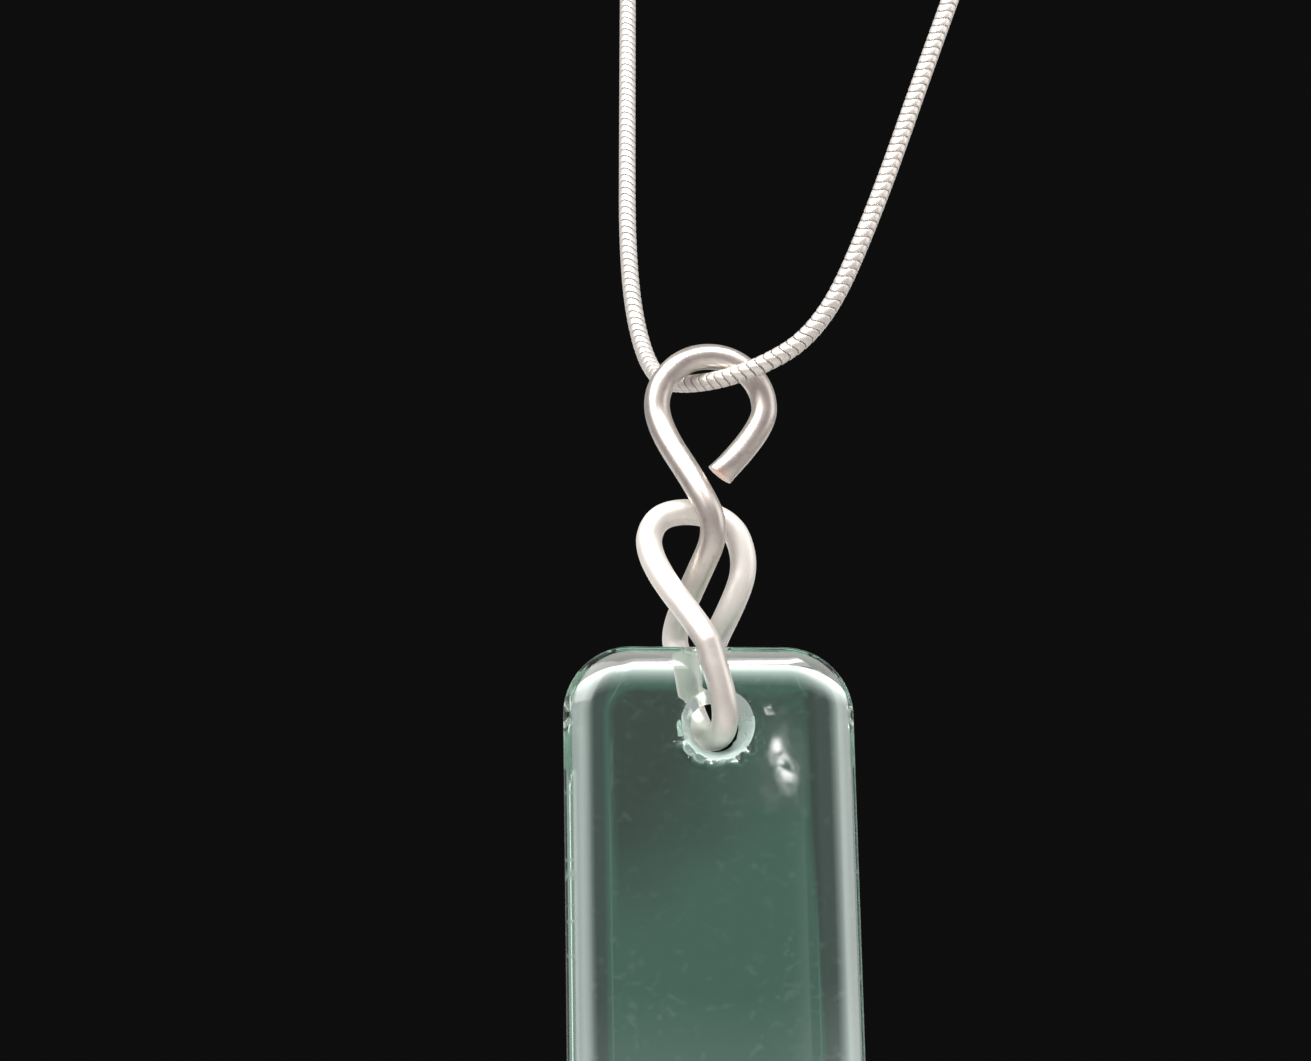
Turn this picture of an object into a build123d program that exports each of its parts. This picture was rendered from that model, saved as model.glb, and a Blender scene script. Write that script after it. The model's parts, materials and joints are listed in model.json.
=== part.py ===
from build123d import *
from collections import namedtuple
from math import atan2, cos, degrees, hypot, radians, sin, tan
import os

# Necklace with a glass bar pendant, in millimetres. +X is to the right of someone who looks at
# the pendant, +Y goes back through the neck, +Z is up. The origin is the middle of the clasp at
# the nape, where the neck carries the necklace.

# Glass bar
glass_width = 20.0
glass_length = 50.0
glass_thickness = 4.0
glass_corner_radius = 4.7
glass_rim_width = 3.5         # how far in from the outline the faces begin to fall away
glass_rim_flat = 0.2          # straight band left between the two roundings of the rim
hole_diameter = 4.8           # at both faces of the glass
hole_waist_diameter = 3.44    # in the middle, where the borings from the two faces meet
hole_waist_length = 0.6
hole_drop = 5.6               # hole centre below the top edge of the bar
hole_side_offset = 0.35       # hole centre to the right of the bar's centre line
hole_rim_round = 0.3

# Wire bail
wire_diameter = 1.8
wire_clearance = 0.15         # between wire and glass, and between two crossing strands
chain_loop_width = 7.6        # upper loop, across its bends
chain_loop_height = 11.15     # upper loop, above the top wire of the teardrop loop
chain_loop_side = -0.15       # middle of the upper loop, to the right of the hole centre
drop_loop_width = 7.0         # teardrop loop, across its bends
drop_loop_height = 9.75       # teardrop loop, above the top edge of the glass
drop_loop_side = -1.25        # middle of the teardrop loop, to the right of the hole centre
back_strand_top = -2.5        # the strands beside the glass, to the right of the hole centre
back_strand_foot = -0.6
front_strand_foot = 0.85
front_strand_top = -0.95
back_strand_rise = 1.7        # upper bend of each strand, above the top edge of the glass
front_strand_rise = 0.15

# Chain and clasp
chain_diameter = 1.3
chain_clearance = 0.2         # under the top wire of the bail
clasp_length = 9.0
clasp_diameter = 3.2
clasp_collar_diameter = 2.1
clasp_collar_length = 1.1
clasp_taper_length = 0.8

# The pendant hangs turned away from the chain's lowest run, which passes through the loop from
# its back left to its front right.
pendant_turn = 42.0

# The clasp lies this far behind and above the lowest point of the chain
nape_back = 122.0
nape_height = 151.0

# Right half of the chain's route, from its lowest point round to the clasp; the left half
# mirrors it. Right, back and up, measured from the lowest point.
CHAIN_ROUTE_RIGHT = [
    (3.2, 0.0, 0.0),
    (7.5, 2.4, 2.9),
    (10.6, 4.4, 11.0),
    (13.8, 8.8, 26.0),
    (20.0, 17.5, 54.0),
    (30.5, 31.0, 92.0),
    (46.0, 52.0, 125.0),
    (54.0, 84.0, 141.0),
    (42.0, 111.0, 149.0),
    (18.0, nape_back, nape_height),
]

# A bend of the wire. Across is a share of half the loop's width, up of the loop's height, and
# depth, which is positive towards the back, of the depth that the bend has to reach.
Bend = namedtuple("Bend", "across up depth")

CHAIN_LOOP_BENDS = [
    Bend(0.16, 0.23, 0.0),
    Bend(1.00, 0.53, 0.0),
    Bend(1.00, 0.80, 0.0),
    Bend(0.41, 1.00, 0.0),
    Bend(-0.41, 1.00, 0.0),
    Bend(-1.00, 0.80, 0.0),
    Bend(-1.00, 0.54, 0.0),
    Bend(-0.28, 0.085, -1.0),
]
SHANK_BENDS = [
    Bend(0.37, 0.80, -1.05),
    Bend(0.03, 0.51, 0.1),
]
DROP_LOOP_BENDS = [
    Bend(-1.00, 0.64, -0.07),
    Bend(-0.85, 0.93, 0.0),
    Bend(-0.10, 1.00, 0.0),
    Bend(0.73, 0.91, 0.0),
    Bend(1.00, 0.65, 0.0),
    Bend(0.86, 0.39, 0.1),
    Bend(0.46, 0.10, 0.82),
]

# Part of each run that its tangent arcs may take at either end
ARC_SHARE = 0.45

# Sizes that follow from those above
wire_radius = wire_diameter / 2
hole_radius = hole_diameter / 2
hole_waist_radius = hole_waist_diameter / 2
strand_depth = glass_thickness / 2 + wire_clearance + wire_radius
crossing_depth = wire_diameter + wire_clearance
bail_height = hole_drop + drop_loop_height + chain_loop_height
hang_drop = bail_height - wire_radius - chain_clearance - chain_diameter / 2

# An off-centre hole lets the bar hang tilted, with its middle under the hole
bar_tilt = degrees(atan2(hole_side_offset, glass_length / 2 - hole_drop))

chain_low_point = Vector(0, -nape_back, -nape_height)
hole_centre = chain_low_point - Vector(0, 0, hang_drop)
turn = radians(pendant_turn)
pendant_right = Vector(cos(turn), sin(turn), 0)
pendant_frame = Plane(origin=hole_centre, x_dir=pendant_right, z_dir=(0, 0, 1))
pendant_front = pendant_frame.y_dir * -1


def bend_points(bends, side, width, foot, height, depth):
    """Places of the wire's bends in the pendant's frame, whose origin is the hole centre."""
    return [
        Vector(side + bend.across * width / 2, bend.depth * depth, foot + bend.up * height)
        for bend in bends
    ]


def arc_radii(points):
    """Largest radius of each corner that leaves its two runs a short straight middle."""
    radii = []
    for before, corner, after in zip(points, points[1:], points[2:]):
        run_in = corner - before
        run_out = after - corner
        half_turn = radians(run_in.get_angle(run_out)) / 2
        radii.append(ARC_SHARE * min(run_in.length, run_out.length) / tan(half_turn))
    return radii


def mirrored_left(point):
    """The same place on the left of the necklace."""
    return Vector(-point.X, point.Y, point.Z)


def chain_points():
    """Corners of the chain's centre line, from the clasp's left end round to its right end."""
    right = [chain_low_point + Vector(*point) for point in CHAIN_ROUTE_RIGHT]
    right.append(Vector(clasp_length / 2, 0, 0))
    left = [mirrored_left(point) for point in reversed(right)]
    return left + right


def bail_points():
    """Corners of the wire's centre line and the radius of each bend between its two ends."""
    drop_top = hole_drop + drop_loop_height
    chain_loop = bend_points(
        CHAIN_LOOP_BENDS, chain_loop_side, chain_loop_width, drop_top, chain_loop_height, crossing_depth
    )
    shank = bend_points(
        SHANK_BENDS, drop_loop_side, drop_loop_width, hole_drop, drop_loop_height, crossing_depth
    )
    drop_loop = bend_points(
        DROP_LOOP_BENDS, drop_loop_side, drop_loop_width, hole_drop, drop_loop_height, strand_depth
    )
    # The U-bend through the hole is round, with its centre level with the hole's upper rim
    u_bend_foot = hole_radius - strand_depth
    back_strand = [
        Vector(back_strand_top, strand_depth, hole_drop + back_strand_rise),
        Vector(back_strand_foot, strand_depth, u_bend_foot),
    ]
    front_strand = [
        Vector(front_strand_foot, -strand_depth, u_bend_foot),
        Vector(front_strand_top, -strand_depth, hole_drop + front_strand_rise),
    ]
    points = chain_loop + shank + back_strand + front_strand + drop_loop
    radii = arc_radii(points)
    first_u_corner = len(chain_loop) + len(shank) + len(back_strand) - 2
    radii[first_u_corner] = strand_depth
    radii[first_u_corner + 1] = strand_depth
    return points, radii


# Glass bar: a slab with round corners whose faces fall away along an elliptic rim, bored from both
# faces near its top. Its flat middle is a slab of its own, which the rim is swept round.
bar_tilt_angle = radians(bar_tilt)
bar_right = pendant_right * cos(bar_tilt_angle) + Vector(0, 0, sin(bar_tilt_angle))
bar_plane = Plane(origin=hole_centre, x_dir=bar_right, z_dir=pendant_front)
bar_middle = bar_plane.from_local_coords(Vector(-hole_side_offset, hole_drop - glass_length / 2))
middle_plane = Plane(origin=bar_middle, x_dir=bar_right, z_dir=pendant_front)
rim_round = (glass_thickness - glass_rim_flat) / 2


def is_at_hole_mouth(edge):
    """Whether an edge lies where the hole meets one of the two faces of the glass."""
    place = bar_plane.to_local_coords(edge @ 0.5)
    near_hole = hypot(place.X, place.Y) < hole_radius + hole_rim_round
    return near_hole and abs(place.Z) > glass_thickness / 2 - hole_rim_round


with BuildPart() as glass_bar:
    with BuildSketch(middle_plane) as flat_middle:
        RectangleRounded(
            glass_width - 2 * glass_rim_width,
            glass_length - 2 * glass_rim_width,
            glass_corner_radius - glass_rim_width,
        )
    extrude(amount=glass_thickness / 2, both=True)
    rim_path = flat_middle.sketch.face().outer_wire()
    rim_outwards = (rim_path % 0).cross(pendant_front)
    with BuildSketch(Plane(origin=rim_path @ 0, x_dir=rim_outwards, z_dir=rim_path % 0)):
        with BuildLine():
            Line((0, -glass_thickness / 2), (0, glass_thickness / 2))
            Line((glass_rim_width, -glass_rim_flat / 2), (glass_rim_width, glass_rim_flat / 2))
            EllipticalCenterArc(
                (0, glass_rim_flat / 2), glass_rim_width, rim_round, start_angle=0, arc_size=90
            )
            EllipticalCenterArc(
                (0, -glass_rim_flat / 2), glass_rim_width, rim_round, start_angle=270, arc_size=90
            )
        make_face()
    sweep(path=rim_path)
    with BuildSketch(bar_plane):
        Circle(hole_waist_radius)
    extrude(amount=glass_thickness / 2, both=True, mode=Mode.SUBTRACT)
    for side in (1, -1):
        with BuildSketch(bar_plane.offset(side * hole_waist_length / 2)):
            Circle(hole_waist_radius)
        with BuildSketch(bar_plane.offset(side * glass_thickness / 2)):
            Circle(hole_radius)
        loft(mode=Mode.SUBTRACT)
    fillet([edge for edge in glass_bar.edges() if is_at_hole_mouth(edge)], radius=hole_rim_round)
glass_bar.part.label = "glass_bar"

# Wire bail: one length of round wire bent through every corner of its centre line
bail_corners, bail_radii = bail_points()

with BuildPart() as wire_bail:
    with BuildLine():
        bail_line = FilletPolyline(
            *[pendant_frame.from_local_coords(point) for point in bail_corners], radius=bail_radii
        )
    with BuildSketch(Plane(origin=bail_line @ 0, z_dir=bail_line % 0)):
        Circle(wire_radius)
    sweep()
wire_bail.part.label = "wire_bail"

# Chain: its round outer form as a tube along the whole loop, ending on the clasp
chain_corners = chain_points()
chain_radii = arc_radii(chain_corners)

with BuildPart() as snake_chain:
    with BuildLine():
        chain_line = FilletPolyline(*chain_corners, radius=chain_radii)
    with BuildSketch(Plane(origin=chain_line @ 0, z_dir=chain_line % 0)):
        Circle(chain_diameter / 2)
    sweep()
snake_chain.part.label = "snake_chain"

# Clasp: a plain closed barrel with a collar at each end for the chain
barrel_half = clasp_length / 2 - clasp_collar_length - clasp_taper_length
collar_half = clasp_length / 2 - clasp_collar_length

with BuildPart() as clasp:
    with BuildSketch(Plane.XY):
        with BuildLine():
            Polyline(
                (-clasp_length / 2, 0),
                (-clasp_length / 2, clasp_collar_diameter / 2),
                (-collar_half, clasp_collar_diameter / 2),
                (-barrel_half, clasp_diameter / 2),
                (barrel_half, clasp_diameter / 2),
                (collar_half, clasp_collar_diameter / 2),
                (clasp_length / 2, clasp_collar_diameter / 2),
                (clasp_length / 2, 0),
                close=True,
            )
        make_face()
    revolve(axis=Axis.X)
clasp.part.label = "clasp"

print("chain length", round(chain_line.length + clasp_length, 1), "mm with the clasp")
print("chain arc radii", [round(radius, 1) for radius in chain_radii])
print("wire length", round(bail_line.length, 1), "mm")
print("wire arc radii", [round(radius, 1) for radius in bail_radii])
print("chain low point", tuple(chain_low_point), "hole centre", tuple(hole_centre))
print("bar tilt", round(bar_tilt, 2), "degrees")

os.makedirs("parts", exist_ok=True)
for piece in (glass_bar, wire_bail, snake_chain, clasp):
    export_step(piece.part, f"parts/{piece.part.label}.step")
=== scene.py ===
"""Glass bar pendant on a round snake chain: the finished looks of every piece.

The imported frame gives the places. The glass bar, the wire bail and the chain are modelled anew in
the space of their plain solids, and the clasp keeps its solid. All lengths are in metres.
"""

import json
from collections import namedtuple
from math import acos, atan2, copysign, cos, hypot, radians, sin, sqrt, tan

import bmesh
import bpy
from bpy.props import FloatProperty, FloatVectorProperty, IntProperty, PointerProperty
from bpy.types import NodeSocket, Operator, Panel, PropertyGroup
from mathutils import Matrix, Vector, noise
from mathutils.kdtree import KDTree


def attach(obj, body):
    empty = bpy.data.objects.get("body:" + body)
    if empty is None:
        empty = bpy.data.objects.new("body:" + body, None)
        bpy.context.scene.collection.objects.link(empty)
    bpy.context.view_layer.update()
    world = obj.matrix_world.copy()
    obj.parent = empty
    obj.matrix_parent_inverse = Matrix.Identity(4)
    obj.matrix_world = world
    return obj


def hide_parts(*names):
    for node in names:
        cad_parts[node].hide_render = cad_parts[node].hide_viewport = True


bl_info = {
    "name": "Glass bar pendant",
    "version": (1, 0, 0),
    "blender": (4, 5, 0),
    "location": "3D View > Sidebar > Pendant",
    "description": "Models a glass bar pendant, its wire bail and its snake chain around their frame",
    "category": "Add Mesh",
}

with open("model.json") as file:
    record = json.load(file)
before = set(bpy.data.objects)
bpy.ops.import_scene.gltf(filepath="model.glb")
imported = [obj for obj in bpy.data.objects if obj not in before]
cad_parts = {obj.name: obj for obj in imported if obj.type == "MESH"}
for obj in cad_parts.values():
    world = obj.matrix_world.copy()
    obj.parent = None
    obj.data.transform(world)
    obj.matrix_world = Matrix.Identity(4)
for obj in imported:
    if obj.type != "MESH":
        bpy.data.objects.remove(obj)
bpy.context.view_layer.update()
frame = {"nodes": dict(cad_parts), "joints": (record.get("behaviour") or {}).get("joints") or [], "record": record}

MILLIMETRE = 0.001
UP = Vector((0, 0, 1))

# Places that the frame gives: the hole of the glass bar, about which the bar swings, and the lowest
# point of the chain, about which the bail swings.
joints = {joint["name"]: joint for joint in frame["joints"]}
hole_centre = Vector(joints["bar_swing"]["pos_m"])
chain_low_point = Vector(joints["pendant_swing"]["pos_m"])
pendant_back = Vector(joints["bar_swing"]["axis"])
pendant_right = pendant_back.cross(UP)
nape = Vector(frame["record"]["mounts"][0]["pos_m"])


# Sizes and colours

def length_property(name, description, millimetres):
    """A length that shows in the sidebar, with its default in millimetres."""
    return FloatProperty(
        name=name,
        description=description,
        default=millimetres * MILLIMETRE,
        min=0.0,
        precision=5,
        subtype="DISTANCE",
        unit="LENGTH",
    )


def colour_property(name, description, colour):
    """A linear colour that shows in the sidebar."""
    return FloatVectorProperty(
        name=name, description=description, default=colour, min=0.0, max=1.0, size=4, subtype="COLOR"
    )


class GlassBarSizes(PropertyGroup):
    """Sizes of the glass bar and its drilled hole."""

    width: length_property("Width", "Width of the bar", 20.0)
    length: length_property("Length", "Length of the bar", 50.0)
    thickness: length_property("Thickness", "Thickness of the glass", 4.0)
    corner_radius: length_property("Corner radius", "Radius of the bar's four corners", 4.7)
    rim_width: length_property("Rim width", "How far in from the outline the faces fall away", 3.5)
    rim_flat: length_property("Rim flat", "Straight band between the two roundings of the rim", 0.2)
    hole_diameter: length_property("Hole diameter", "Hole at both faces of the glass", 4.8)
    hole_waist: length_property("Hole waist", "Hole where the borings from both faces meet", 3.44)
    hole_waist_length: length_property("Waist length", "Straight part of the hole's waist", 0.6)
    hole_drop: length_property("Hole drop", "Hole centre below the top edge", 5.6)
    hole_side_offset: length_property("Hole offset", "Hole centre right of the middle", 0.35)
    hole_rim_round: length_property("Hole rim", "Rounding of the hole's two rims", 0.3)


class BailSizes(PropertyGroup):
    """Sizes of the bent wire bail."""

    wire_diameter: length_property("Wire", "Diameter of the wire", 1.8)
    clearance: length_property("Clearance", "Gap between wire and glass", 0.15)
    chain_loop_width: length_property("Upper loop width", "Upper loop across its bends", 7.6)
    chain_loop_height: length_property("Upper loop height", "Above the teardrop's top wire", 11.15)
    drop_loop_width: length_property("Teardrop width", "Teardrop loop across its bends", 7.0)
    drop_loop_height: length_property("Teardrop height", "Above the top edge of the glass", 9.75)
    pinch_length: length_property("Pinched end", "Length of wire squashed by the cutters", 1.1)


class ChainSizes(PropertyGroup):
    """Sizes of the round snake chain and its clasp."""

    diameter: length_property("Diameter", "Outer diameter of the chain", 1.3)
    link_pitch: length_property("Link pitch", "Distance from one link to the next", 0.635)
    link_wave: length_property("Link wave", "How far each link's edge waves along the chain", 0.17)
    clasp_length: length_property("Clasp length", "Length of the closed clasp", 9.0)
    link_sides: IntProperty(
        name="Link sides", description="Faces round each link", default=14, min=8, max=24
    )


class Finishes(PropertyGroup):
    """Colours of the pendant's materials and of the stage."""

    glass: colour_property("Glass", "Tint of the polished glass", (0.89, 0.96, 0.93, 1))
    glass_depth: colour_property("Glass depth", "Colour that deep glass takes", (0.20, 0.86, 0.62, 1))
    hole_wall: colour_property("Hole wall", "Frosted wall of the hole", (0.76, 0.95, 0.90, 1))
    silver: colour_property("Silver", "Bright silver", (0.70, 0.66, 0.615, 1))
    # One colour for the scratches, as wear, and for the painted shade in the grooves between the links.
    tarnish_and_groove_shade: colour_property("Tarnish", "Silver in grooves and scratches", (0.42, 0.38, 0.37, 1))
    copper: colour_property("Copper", "Bare core of the cut wire", (0.84, 0.62, 0.52, 1))
    # Matt white silver. On the wire's front loop and strands it also stands in for the stronger light on them: a
    # painted highlight.
    satin: colour_property("Satin silver", "Matt silver of the front loop", (0.98, 0.96, 0.915, 1))
    floor: colour_property("Floor", "Pale studio floor", (0.72, 0.71, 0.69, 1))


# Objects and selection

def start_piece(name):
    """Names the primitive that was just added, puts its place in its mesh and enters edit mode."""
    piece = bpy.context.object
    piece.name = piece.data.name = name
    bpy.ops.object.transform_apply()
    bpy.ops.object.mode_set(mode="EDIT")
    bpy.ops.mesh.select_mode(type="VERT")
    return piece


def finish_piece(piece, materials, body, replaced):
    """Gives a piece its materials and its body, and hides the node that it stands for."""
    for material in materials:
        piece.data.materials.append(material)
    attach(piece, body)
    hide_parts(replaced)


def deselect_all():
    """Leaves nothing selected, since operators act on all that is."""
    bpy.ops.object.select_all(action="DESELECT")


def make_active(piece):
    """Selects one object alone."""
    deselect_all()
    piece.select_set(True)
    bpy.context.view_layer.objects.active = piece


def select_where(piece, kind, test):
    """In edit mode, selects only the verts, edges or faces for which the test holds."""
    bpy.ops.mesh.select_mode(type=kind[:-1].upper())
    bpy.ops.mesh.select_all(action="DESELECT")
    mesh = bmesh.from_edit_mesh(piece.data)
    for element in getattr(mesh, kind):
        if test(element):
            element.select_set(True)
    mesh.select_flush_mode()
    bmesh.update_edit_mesh(piece.data)


def apply_modifier(piece, kind, **settings):
    """Adds a modifier with these settings and applies it."""
    make_active(piece)
    modifier = piece.modifiers.new(kind.title(), kind)
    for name, value in settings.items():
        setattr(modifier, name, value)
    bpy.ops.object.modifier_apply(modifier=modifier.name)


def close_and_smooth(piece, merge_distance):
    """Merges doubles, turns all faces outwards and shades the piece smooth."""
    make_active(piece)
    bpy.ops.object.mode_set(mode="EDIT")
    bpy.ops.mesh.select_all(action="SELECT")
    bpy.ops.mesh.remove_doubles(threshold=merge_distance)
    bpy.ops.mesh.normals_make_consistent()
    bpy.ops.object.mode_set(mode="OBJECT")
    bpy.ops.object.shade_smooth()


def extrude_ring(offset, scale, centre):
    """Extrudes the selected ring of edges by an offset, then scales it about its new centre."""
    bpy.ops.mesh.extrude_region_move(TRANSFORM_OT_translate={"value": offset})
    bpy.ops.transform.resize(value=scale, center_override=centre)


# Shader nodes

def add_node(tree, kind, inputs=None, **settings):
    """Adds a node. An input that is given a socket is linked to it, and any other is set."""
    added = tree.nodes.new(kind)
    for name, value in settings.items():
        setattr(added, name, value)
    for name, value in (inputs or {}).items():
        if isinstance(value, NodeSocket):
            tree.links.new(value, added.inputs[name])
        else:
            added.inputs[name].default_value = value
    return added


def mix_colours(tree, share, first, second, blend="MIX"):
    """Mixes two colours, or adds a share of the second, and returns the result's socket."""
    inputs = {0: share, 6: first, 7: second}
    return add_node(tree, "ShaderNodeMix", inputs, data_type="RGBA", blend_type=blend).outputs[2]


def map_range(tree, value, low, high, new_low=0.0, new_high=1.0):
    """Maps a value from one range to another, clamped, and returns the result's socket."""
    inputs = {"Value": value, "From Min": low, "From Max": high, "To Min": new_low, "To Max": new_high}
    return add_node(tree, "ShaderNodeMapRange", inputs).outputs["Result"]


def calculate(tree, operation, *values):
    """Works out an operation on these values and returns the result's socket."""
    return add_node(tree, "ShaderNodeMath", dict(enumerate(values)), operation=operation).outputs[0]


def dot_product(tree, vector, axis):
    """How far a vector reaches along an axis, as a socket."""
    inputs = {0: vector, 1: axis}
    return add_node(tree, "ShaderNodeVectorMath", inputs, operation="DOT_PRODUCT").outputs["Value"]


NOISE_RANGE = (0.3, 0.7)   # nearly all values of a noise pattern lie between these


def noise_pattern(tree, vector, scale, detail, roughness=0.5):
    """Adds a Noise Texture and returns the socket of its value."""
    settings = {"Vector": vector, "Scale": scale, "Detail": detail, "Roughness": roughness}
    return add_node(tree, "ShaderNodeTexNoise", settings).outputs["Fac"]


def colour_ramp(tree, value, stops):
    """Turns a value into a colour through these stops, each a position and a colour."""
    node = add_node(tree, "ShaderNodeValToRGB", {"Fac": value})
    ramp = node.color_ramp
    while len(ramp.elements) < len(stops):
        ramp.elements.new(0.5)
    for element, (position, colour) in zip(ramp.elements, stops):
        element.position = position
        element.color = colour
    return node.outputs["Color"]


def new_material(name, **constants):
    """A node material with these constants on its shader's sockets. An underscore is a space."""
    material = bpy.data.materials.new(name)
    material.use_nodes = True
    shader = material.node_tree.nodes["Principled BSDF"]
    for socket, value in constants.items():
        shader.inputs[socket.replace("_", " ")].default_value = value
    return material, material.node_tree, shader


WEAR_INPUTS = {"Scratch Scale": 2500.0, "Scratch Amount": 0.5, "Smudge Scale": 300.0}
# The two runs of the scratches: how each is turned, and how it is drawn out along one axis
SCRATCH_RUNS = (((0.3, 0.9, 0.2), (1, 0.06, 1)), ((1.2, 0.1, 0.8), (1, 1, 0.05)))
SCRATCH_EDGES = (0.62, 0.74)   # values of the noise at which a scratch begins and is whole


def handling_wear_group():
    """Fine scratches that run across each other and soft smudges, both on Object coordinates."""
    group = bpy.data.node_groups.get("handling_wear")
    if group:
        return group
    group = bpy.data.node_groups.new("handling_wear", "ShaderNodeTree")
    for name, default in WEAR_INPUTS.items():
        socket = group.interface.new_socket(name, in_out="INPUT", socket_type="NodeSocketFloat")
        socket.default_value = default
    for name in ("Scratches", "Smudges", "Height"):
        group.interface.new_socket(name, in_out="OUTPUT", socket_type="NodeSocketFloat")
    given = add_node(group, "NodeGroupInput").outputs
    place = add_node(group, "ShaderNodeTexCoord").outputs["Object"]

    runs = []
    for turn, stretch in SCRATCH_RUNS:
        turned = add_node(group, "ShaderNodeMapping", {"Vector": place, "Rotation": turn})
        inputs = {"Vector": turned.outputs["Vector"], "Scale": stretch}
        drawn_out = add_node(group, "ShaderNodeMapping", inputs)
        streaks = noise_pattern(group, drawn_out.outputs["Vector"], given["Scratch Scale"], detail=2.0)
        runs.append(map_range(group, streaks, *SCRATCH_EDGES))
    either = calculate(group, "MAXIMUM", *runs)
    scratches = calculate(group, "MULTIPLY", either, given["Scratch Amount"])
    smudges = noise_pattern(group, place, given["Smudge Scale"], detail=4.0, roughness=0.6)
    height = calculate(group, "SUBTRACT", smudges, scratches)
    given_back = {"Scratches": scratches, "Smudges": smudges, "Height": height}
    add_node(group, "NodeGroupOutput", given_back)
    return group


def add_wear(tree, scratch_scale, scratch_amount, smudge_scale):
    """Places the wear group in a material with its own values, and returns its outputs."""
    inputs = dict(zip(WEAR_INPUTS, (scratch_scale, scratch_amount, smudge_scale)))
    return add_node(tree, "ShaderNodeGroup", inputs, node_tree=handling_wear_group()).outputs


def add_bump(tree, shader, wear, strength, distance):
    """Lets the wear's height bend the shader's normal."""
    inputs = {"Height": wear["Height"], "Strength": strength, "Distance": distance}
    bump = add_node(tree, "ShaderNodeBump", inputs)
    tree.links.new(bump.outputs["Normal"], shader.inputs["Normal"])


# Materials

GLASS_IOR = 1.5
GLASS_DENSITY = 22.0   # how fast deep glass takes its colour
# A glass: how clear it is, its wear's three inputs, the values of its smudges between which it turns
# from smooth to rough, its roughness at both, what a scratch adds to that, and its bump.
Glass = namedtuple("Glass", "clarity wear smudges roughness scratched bump")
POLISHED = Glass(1.0, (1300.0, 0.35, 120.0), NOISE_RANGE, (0.02, 0.06), 0.5, (0.02, 0.00003))
FROSTED = Glass(0.45, (2600.0, 0.9, 1800.0), (0.35, 0.65), (0.35, 0.62), 0.0, (0.8, 0.00006))

# Each silver's scale and amount of scratches, and its roughness
PLATED_WIRE = (1700.0, 0.35, (0.31, 0.42))
CHAIN_SILVER = (2600.0, 0.3, (0.3, 0.4))
CLASP_SILVER = (1400.0, 0.4, (0.14, 0.24))
SILVER_SMUDGES = 700.0   # scale of the smudges on silver
SATIN_ROUGHNESS = 0.12   # what the matt silver adds to the roughness
SATIN_METALLIC = 0.62
COPPER_RAGGED = 0.3      # how far the smudges shift the edge of the bared copper
COPPER_EDGES = (0.4, 0.7)


def glass(name, finishes, colour, kind):
    """Glass with softly waved, lightly smudged faces, or with the milky ground wall of its hole."""
    material, tree, shader = new_material(
        name, Base_Color=colour, IOR=GLASS_IOR, Transmission_Weight=kind.clarity
    )
    wear = add_wear(tree, *kind.wear)
    smudged = map_range(tree, wear["Smudges"], *kind.smudges, *kind.roughness)
    scratched = calculate(tree, "MULTIPLY", wear["Scratches"], kind.scratched)
    tree.links.new(calculate(tree, "ADD", smudged, scratched), shader.inputs["Roughness"])
    add_bump(tree, shader, wear, *kind.bump)
    inputs = {"Color": finishes.glass_depth, "Density": GLASS_DENSITY}
    depth = add_node(tree, "ShaderNodeVolumeAbsorption", inputs)
    tree.links.new(depth.outputs["Volume"], tree.nodes["Material Output"].inputs["Volume"])
    return material


def silver(name, finishes, scratch_scale, scratch_amount, roughness_range, attributes=()):
    """Silver with fine scratches. Of the piece's attributes that it reads, the satin share makes it matt and
    white, partly as a painted highlight and, where it drops, as painted shade; the groove share darkens it as
    painted shade between the links; and bared shows copper."""
    material, tree, shader = new_material(name, Metallic=1.0)
    wear = add_wear(tree, scratch_scale, scratch_amount, SILVER_SMUDGES)
    roughness = map_range(tree, wear["Smudges"], *NOISE_RANGE, *roughness_range)
    colour = mix_colours(tree, wear["Scratches"], finishes.silver, finishes.tarnish_and_groove_shade)
    shares = {
        attribute: add_node(tree, "ShaderNodeAttribute", attribute_name=attribute).outputs["Fac"]
        for attribute in attributes
    }
    # Painted highlight and shade: the satin share makes the silver matt and white, partly standing in for more
    # light where it is high and for shade where it drops.
    if "satin" in shares:
        satin_and_light = shares["satin"]
        colour = mix_colours(tree, satin_and_light, colour, finishes.satin)
        added = map_range(tree, satin_and_light, 0.0, 1.0, 0.0, SATIN_ROUGHNESS)
        roughness = calculate(tree, "ADD", roughness, added)
        metallic = map_range(tree, satin_and_light, 0.0, 1.0, 1.0, SATIN_METALLIC)
        tree.links.new(metallic, shader.inputs["Metallic"])
    # Painted shade between the links: the groove share darkens the silver towards the tarnish colour.
    if "grooves" in shares:
        colour = mix_colours(tree, shares["grooves"], colour, finishes.tarnish_and_groove_shade)
    if "bared" in shares:
        shift = map_range(tree, wear["Smudges"], *NOISE_RANGE, -COPPER_RAGGED, COPPER_RAGGED)
        ragged = calculate(tree, "ADD", shares["bared"], shift)
        colour = mix_colours(tree, map_range(tree, ragged, *COPPER_EDGES), colour, finishes.copper)
    tree.links.new(colour, shader.inputs["Base Color"])
    tree.links.new(roughness, shader.inputs["Roughness"])
    add_bump(tree, shader, wear, strength=0.35, distance=0.00001)
    return material


# Routes that the wire and the chain follow

# A bend of the wire. Across is a share of half the loop's width, up of the loop's height, and
# depth, which is positive towards the back, of the depth that the bend has to reach.
Bend = namedtuple("Bend", "across up depth")

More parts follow.
